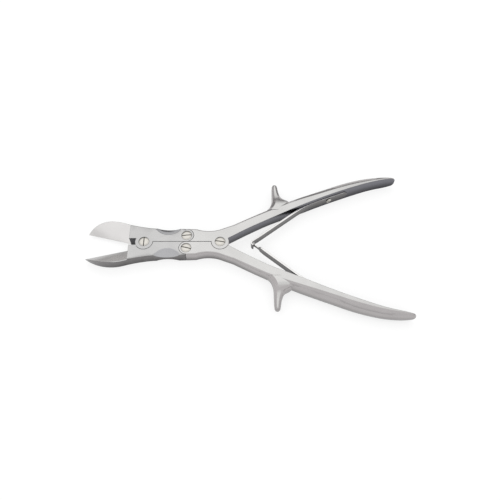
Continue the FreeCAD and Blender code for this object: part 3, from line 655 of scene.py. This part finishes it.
@dataclass
class LeafSpring:
    """A leaf spring: a flat strip carried along its path, rounded at its edges and at its root end.

    It grows thicker at swell_place from its root end and falls back to its root's thickness at thin_end
    before its tip. The lower leaf's last part, tongue_length long, is narrow. held_reach and free_reach are
    not used.
    """

    side: Side
    finish: SteelFinish = SPRING_STEEL
    path: LeafPath = LeafPath()
    width: float = 7.0
    root_thickness: float = 1.2
    blade_thickness: float = 1.75
    swell_place: float = 40.0
    swell_length: float = 2.5
    thin_end: float = 9.0
    thinning: float = 0.8
    tongue_width: float = 3.0
    tongue_length: float = 6.5
    narrowing: float = 0.22
    root_blunt: float = 0.02
    around: int = 48
    edge_power: float = 0.16
    held_reach: float = 12.0
    free_reach: float = 4.0

    @property
    def hooked(self) -> bool:
        """Whether this is the leaf with the hook."""
        return self.side is Side.UPPER

    def half_widths(self, reach: np.ndarray) -> np.ndarray:
        """Half width along the strip: half a circle at the root end, and on the lower leaf a narrow tongue.

        Args:
            reach: distance from the root end along the path, in millimetres.

        Returns:
            Half width at each place.
        """
        half = self.width / 2
        rounded = half * np.sqrt(1 - (1 - np.clip(reach / half, self.root_blunt, 1)) ** 2)
        if self.hooked:
            return rounded
        tongue = self.tongue_width / 2
        return tongue + (rounded - tongue) * logistic(reach[-1] - reach, self.tongue_length, self.narrowing)

    def half_thickness(self, reach: np.ndarray) -> np.ndarray:
        """Half thickness along the strip: thin on the seat and at the tip, thicker between two steps.

        Args:
            reach: distance from the root end along the path, in millimetres.

        Returns:
            Half thickness at each place.
        """
        risen = logistic(reach, self.swell_place, self.swell_length)
        fallen = logistic(reach[-1] - reach, self.thin_end, self.thinning)
        return (self.root_thickness + (self.blade_thickness - self.root_thickness) * risen * fallen) / 2

    def strip(self) -> np.ndarray:
        """The strip as a grid: place along the path by turn round a flat rounded section.

        Half the thickness times the flattened sine of the turn is laid off square to the path in plan, and
        half the width times the flattened cosine is laid off upwards. That makes the section a superellipse,
        with flat faces and rounded edges.

        Returns:
            Rings by places round by 3, in millimetres from the handle pivot.
        """
        line = self.path.points(self.hooked)
        step = np.gradient(line, axis=0)
        tangent = step / np.linalg.norm(step, axis=1)[:, None]
        normal = np.stack([-tangent[:, 1], tangent[:, 0]], axis=-1)
        reach = np.concatenate([[0.0], np.cumsum(np.linalg.norm(np.diff(line, axis=0), axis=1))])
        turn = np.linspace(0, 2 * np.pi, self.around, endpoint=False)
        thick = self.half_thickness(reach)[:, None] * flattened(np.sin(turn), self.edge_power)
        plan = line[:, None, :] + normal[:, None, :] * thick[..., None]
        height = self.half_widths(reach)[:, None] * flattened(np.cos(turn), self.edge_power)
        return np.concatenate([plan, height[..., None]], axis=-1)

    def build(self) -> bpy.types.Object:
        """Make the leaf and hide the imported leaf spring.

        Returns:
            The piece.
        """
        word = self.side.word
        piece = closed_piece(f"{word}_leaf", in_frame(self.strip(), self.side), self.finish.material())
        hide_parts(f"{word}_leaf_spring")
        corner = self.path.corners(self.hooked)[1]
        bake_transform(piece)
        return piece


@dataclass
class Bead:
    """The bead at the lower leaf's tip: a short upright pin with round ends, held in the hook."""

    finish: SteelFinish = SPRING_STEEL
    place: Pair = LeafPath.tip
    radius: float = 0.75
    length: float = 5.2
    around: int = 32
    rings: int = 23
    end_power: float = 0.33

    def build(self) -> bpy.types.Object:
        """Make the pin as a profile turned about its own axis.

        The profile is a superellipse of power six: at each angle from the bottom to the top, the radius is
        times the flattened cosine and half the length is times the flattened sine.

        Returns:
            The piece.
        """
        lift = np.linspace(-math.pi / 2, math.pi / 2, self.rings + 2)[1:-1, None]
        turn = np.linspace(0, 2 * np.pi, self.around, endpoint=False)
        breadth = self.radius * flattened(np.cos(lift), self.end_power)
        height = self.length / 2 * flattened(np.sin(lift), self.end_power)
        points = np.stack([self.place[0] + breadth * np.cos(turn), self.place[1] + breadth * np.sin(turn),
                           np.broadcast_to(height, (self.rings, self.around))], axis=-1)
        piece = closed_piece("lower_leaf_bead", in_frame(points), self.finish.material())
        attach(piece, "lower_spring")
        return piece


@dataclass(frozen=True)
class Zone:
    """A part of a forging that has a finish of its own."""

    finish: SteelFinish
    side: Side

    def holds(self, middles: np.ndarray, normals: np.ndarray) -> np.ndarray:
        """Which faces belong to the zone.

        Args:
            middles: n by 3 array of the faces' middles in pivot millimetres.
            normals: n by 3 array of the faces' normals.

        Returns:
            One truth value for each face.
        """
        raise NotImplementedError

    def moved(self, points: np.ndarray) -> np.ndarray:
        """The forging's points as the zone shapes them: here they stay where they are."""
        return points


@dataclass(frozen=True)
class BladeZone(Zone):
    """Some of the sloping faces of a blade, which is all that lies in front of the shoulder.

    lean is the range of the normal's upright part, and outward is how far it has to point away from the
    middle for a face to count as one of the back.
    """

    lean: Pair
    shoulder: float = -74.6
    outward: float = 0.3

    def leaning(self, middles: np.ndarray, normals: np.ndarray) -> np.ndarray:
        """Which faces lie in front of the shoulder and lean within the range."""
        upright = normals[:, 2]
        return (middles[:, 0] < self.shoulder) & (upright > self.lean[0]) & (upright < self.lean[1])


@dataclass(frozen=True)
class BackZone(BladeZone):
    """The slope that breaks the edge of a blade's back: steep faces that look outwards."""

    lean: Pair = (0.6, 0.82)

    def holds(self, middles: np.ndarray, normals: np.ndarray) -> np.ndarray:
        """Which faces belong to the zone: the leaning ones that look outwards."""
        return self.leaning(middles, normals) & (normals[:, 1] * self.side.value > self.outward)


@dataclass(frozen=True)
class BevelZone(BladeZone):
    """The ground bevel of a blade: the faces over its cutting edge that lean but are not walls."""

    lean: Pair = (0.45, 0.98)
    tip: float = -110.9
    edge_level: float = -4.05
    steeper: float = 1.1

    def holds(self, middles: np.ndarray, normals: np.ndarray) -> np.ndarray:
        """Which faces belong to the zone: the leaning ones over the cutting edge that don't look outwards."""
        inner = (middles[:, 2] > self.edge_level) & (normals[:, 1] * self.side.value < self.outward)
        return self.leaning(middles, normals) & inner

    def moved(self, points: np.ndarray) -> np.ndarray:
        """Make the bevel steeper towards the tip, so that the blade keeps its thickness along its back.

        Above the level of the cutting edge, a point's height over that level grows by a factor that rises
        with the square of its way from the shoulder to the tip. The cutting edge and the underside stay.

        Args:
            points: n by 3 array of pivot millimetres.

        Returns:
            The moved points.
        """
        way = np.clip((self.shoulder - points[:, 0]) / (self.shoulder - self.tip), 0.0, 1.0)
        over = np.maximum(points[:, 2] - self.edge_level, 0.0)
        moved = points.copy()
        moved[:, 2] += over * self.steeper * way ** 2
        return moved


@dataclass(frozen=True)
class HollowZone(Zone):
    """The hollows that a ball leaves in a jaw's cheek on both faces: the faces that lie on that ball.

    reach, offset and height are its middle's X, Y and Z from the handle pivot, for the upper jaw's top.
    """

    reach: float = -42.7
    offset: float = 18.7
    height: float = 19.4
    radius: float = 18.9
    play: float = 0.06

    def holds(self, middles: np.ndarray, normals: np.ndarray) -> np.ndarray:
        """Which faces belong to the zone: those as far from a ball's middle, over or under, as its radius.

        Args:
            middles: n by 3 array of the faces' middles in pivot millimetres.
            normals: n by 3 array of the faces' normals, which aren't needed here.

        Returns:
            One truth value for each face.
        """
        above = np.sign(middles[:, 2])[:, None]
        centre = np.array([self.reach, self.offset * self.side.value, 0.0]) + above * [0.0, 0.0, self.height]
        return np.abs(np.linalg.norm(middles - centre, axis=1) - self.radius) < self.play


@dataclass
class Forging:
    """A packed forging, taken over as a merged copy whose rounded parts are shaded smooth.

    An edge of the copy is sharp where it turns by its crease or more, in degrees. The levels are upright
    parts of a normal: slope_level is that of the slopes which break the outer edges, and a face over
    flat_level is flat. weld is the gap in millimetres up to which corners are joined, and evenness how far
    large faces set the shading.
    """

    side: Side
    kind: str
    crease: float
    weld: float = 0.002
    slope_crease: float = 52.0
    slope_level: float = 0.707
    slope_play: float = 0.06
    flat_crease: float = 7.0
    flat_level: float = 0.978
    evenness: int = 80

    @property
    def name(self) -> str:
        """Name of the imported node, and of the body that it rides on."""
        return f"{self.side.word}_{self.kind}"

    def finish(self) -> SteelFinish:
        """The finish of the whole forging, under those of its zones."""
        raise NotImplementedError

    def zones(self) -> tuple[Zone, ...]:
        """The parts with a finish of their own: none, unless the forging says otherwise."""
        return ()

    def copied(self, node: bpy.types.Object) -> bpy.types.Object:
        """Copy the node's triangles with their shared corners joined.

        Args:
            node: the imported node.

        Returns:
            The copy, linked to the scene.
        """
        mesh = node.data.copy()
        mesh.name = f"{self.name}_forging"
        work = bmesh.new()
        work.from_mesh(mesh)
        bmesh.ops.remove_doubles(work, verts=work.verts, dist=self.weld * MM)
        bmesh.ops.dissolve_degenerate(work, edges=work.edges, dist=self.weld * MM)
        work.to_mesh(mesh)
        work.free()
        copy = bpy.data.objects.new(mesh.name, mesh)
        bpy.context.scene.collection.objects.link(copy)
        return copy

    def shape(self, mesh: bpy.types.Mesh) -> None:
        """Let each zone move the points that it shapes.

        Args:
            mesh: the copy's mesh.
        """
        places = np.empty(len(mesh.vertices) * 3)
        mesh.vertices.foreach_get("co", places)
        points = places.reshape(-1, 3) / MM - ORIGIN
        for zone in self.zones():
            points = zone.moved(points)
        mesh.vertices.foreach_set("co", ((points + ORIGIN) * MM).ravel())

    def crease_at(self, edge: bmesh.types.BMEdge) -> float:
        """The turn in degrees from which an edge is sharp.

        It is large beside one of the slopes that break the outer edges, small at the rim of a flat top, and
        the forging's own elsewhere.

        Args:
            edge: an edge of the copy.

        Returns:
            The turn.
        """
        levels = [abs(face.normal.z) for face in edge.link_faces]
        if any(abs(level - self.slope_level) < self.slope_play for level in levels):
            return self.slope_crease
        flat = [level > self.flat_level for level in levels]
        return self.flat_crease if any(flat) and not all(flat) else self.crease

    def mark_creases(self, mesh: bpy.types.Mesh) -> None:
        """Shade the faces smooth and keep each edge sharp that turns by its crease angle or more.

        Args:
            mesh: the copy's mesh.
        """
        work = bmesh.new()
        work.from_mesh(mesh)
        work.normal_update()
        for face in work.faces:
            face.smooth = True
        for edge in work.edges:
            edge.smooth = edge.calc_face_angle(math.pi) < math.radians(self.crease_at(edge))
        work.to_mesh(mesh)
        work.free()

    def dress(self, mesh: bpy.types.Mesh) -> None:
        """Give the whole forging its finish, and the faces of each zone the zone's own finish.

        Args:
            mesh: the copy's mesh.
        """
        count = len(mesh.polygons)
        middles, normals = np.empty(count * 3), np.empty(count * 3)
        mesh.polygons.foreach_get("center", middles)
        mesh.polygons.foreach_get("normal", normals)
        middles = middles.reshape(-1, 3) / MM - ORIGIN
        chosen = np.zeros(count, int)
        mesh.materials.clear()
        mesh.materials.append(self.finish().material())
        for number, zone in enumerate(self.zones(), start=1):
            mesh.materials.append(zone.finish.material())
            chosen[zone.holds(middles, normals.reshape(-1, 3))] = number
        mesh.polygons.foreach_set("material_index", chosen)

    def build(self, node: bpy.types.Object) -> bpy.types.Object:
        """Make the copy, shape and finish it, and let it stand for the node.

        Args:
            node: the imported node.

        Returns:
            The piece.
        """
        piece = self.copied(node)
        self.shape(piece.data)
        self.mark_creases(piece.data)
        self.dress(piece.data)
        weighted = piece.modifiers.new("even_shading", "WEIGHTED_NORMAL")
        weighted.keep_sharp = True
        weighted.weight = self.evenness
        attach(piece, self.name)
        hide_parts(self.name)
        return piece


@dataclass(frozen=True)
class JawLightTones:
    """How light each zone of a jaw is painted, as painted light and shade that differ between the two jaws,
    and the lean at which its walls turn into its top.
    """

    bevel: float
    back: float
    hollow: float
    level: Pair


@dataclass
class Jaw(Forging):
    """A jaw: satin cheeks, a ground bevel, the slope along the blade's back, and polished hollows, all toned
    with painted light and shade.
    """

    kind: str = "jaw"
    crease: float = 14.0
    colour: Triple = (0.46, 0.456, 0.453)
    # Painted shade on the steep faces, deeper on those that face the middle, and growing towards the
    # underside.
    wall: Triple = (0.178, 0.171, 0.172)
    inner: Triple = (0.07, 0.07, 0.075)
    underside_shade: float = 0.3
    satin: Grain = Grain(edge=0.5)
    ground: Grain = Grain(turn=90.0, edge=0.5)
    polished: Grain = Grain(roughness=0.17, depth=0.06)
    bevel_tint: Triple = (1.0, 0.98, 0.97)
    back_tint: Triple = (1.0, 1.0, 1.0)
    hollow_tint: Triple = (1.0, 1.0, 1.03)
    # Painted light and shade: the jaws are lit differently, so each gets its own tones, and its own lean at
    # which the slopes take the painted wall shade.
    upper_light_tones: JawLightTones = JawLightTones(bevel=0.73, back=0.30, hollow=0.34, level=(0.72, 0.9))
    lower_light_tones: JawLightTones = JawLightTones(bevel=0.40, back=0.58, hollow=0.43, level=(0.35, 0.8))

    @property
    def tones(self) -> JawLightTones:
        """The tones of this side's jaw."""
        return self.upper_light_tones if self.side is Side.UPPER else self.lower_light_tones

    def finish(self) -> SteelFinish:
        """The satin steel of the cheeks and the whole box.

        Returns:
            The finish, with walls darkened as painted shade.
        """
        return SteelFinish(f"satin_{self.name}", self.colour, self.wall, self.inner,
                           inward=-self.side.value, grain=self.satin, level=self.tones.level,
                           underside_shade=self.underside_shade)

    def zones(self) -> tuple[Zone, ...]:
        """The bevel, which is ground across the blade, its back, and the hollows.

        Returns:
            The three zones.
        """
        word, tones = self.side.word, self.tones
        # Each tone below is painted light and shade and differs from jaw to jaw.
        bevel = SteelFinish(f"ground_{word}_blade", toned(tones.bevel, self.bevel_tint), level=ALL_LEVEL,
                            grain=self.ground)
        back = SteelFinish(f"back_{word}_blade", toned(tones.back, self.back_tint), level=ALL_LEVEL)
        hollow = SteelFinish(f"hollow_{word}_jaw", toned(tones.hollow, self.hollow_tint), level=ALL_LEVEL,
                             grain=self.polished)
        return BevelZone(bevel, self.side), BackZone(back, self.side), HollowZone(hollow, self.side)


@dataclass
class Handle(Forging):
    """A handle: satin steel whose grain runs along the shank, with walls darkened as painted shade."""

    kind: str = "handle"
    crease: float = 31.0
    shank_turn: float = 24.0
    soft_edge: float = 0.5
    # How soon a rounded side turns dark with the painted wall shade.
    level: Pair = (0.955, 0.99)

    def finish(self) -> SteelFinish:
        """The satin steel of the whole handle.

        Returns:
            The finish, whose sides count as walls, and take their painted shade, as soon as they turn from
            level.
        """
        grain = Grain(turn=self.shank_turn * self.side.value, edge=self.soft_edge)
        return SteelFinish(f"satin_{self.name}", inward=-self.side.value, grain=grain, level=self.level)


@dataclass
class Screws:
    """The six screws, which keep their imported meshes: four in the joints and one at each leaf's root."""

    joints: tuple[str, ...] = ("jaw_pivot", "handle_pivot", "upper_link", "lower_link")
    path: LeafPath = LeafPath()

    def build(self, nodes: dict[str, bpy.types.Object]) -> list[bpy.types.Object]:
        """Give every screw its turned finish.

        Args:
            nodes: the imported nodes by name.

        Returns:
            The dressed nodes.
        """
        large = ScrewFinish("turned_screw").material()
        made = {f"{joint}_screw": large for joint in self.joints}
        for side in Side:
            axis, slot_level = self.path.inward_axis(side), self.path.slot_level()
            made[f"{side.word}_spring_screw"] = ScrewFinish(f"small_screw_{side.word}", axis,
                                                            slot_level).material()
        for name, material in made.items():
            nodes[name].data.materials.clear()
            nodes[name].data.materials.append(material)
        return [nodes[name] for name in made]


def main() -> None:
    """Build the studio, then each sub-assembly in order, and report every piece."""
    logging.basicConfig(level=logging.INFO)
    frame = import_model()
    Studio().build()
    for side in Side:
        for forging in (Jaw(side), Handle(side)):
            LOG.info("built %s", forging.build(frame["nodes"][forging.name]).name)
    for screw in Screws().build(frame["nodes"]):
        LOG.info("dressed %s", screw.name)
    for side in Side:
        LOG.info("built %s", LeafSpring(side).build().name)
    LOG.info("built %s", Bead().build().name)


if __name__ == "__main__":
    main()
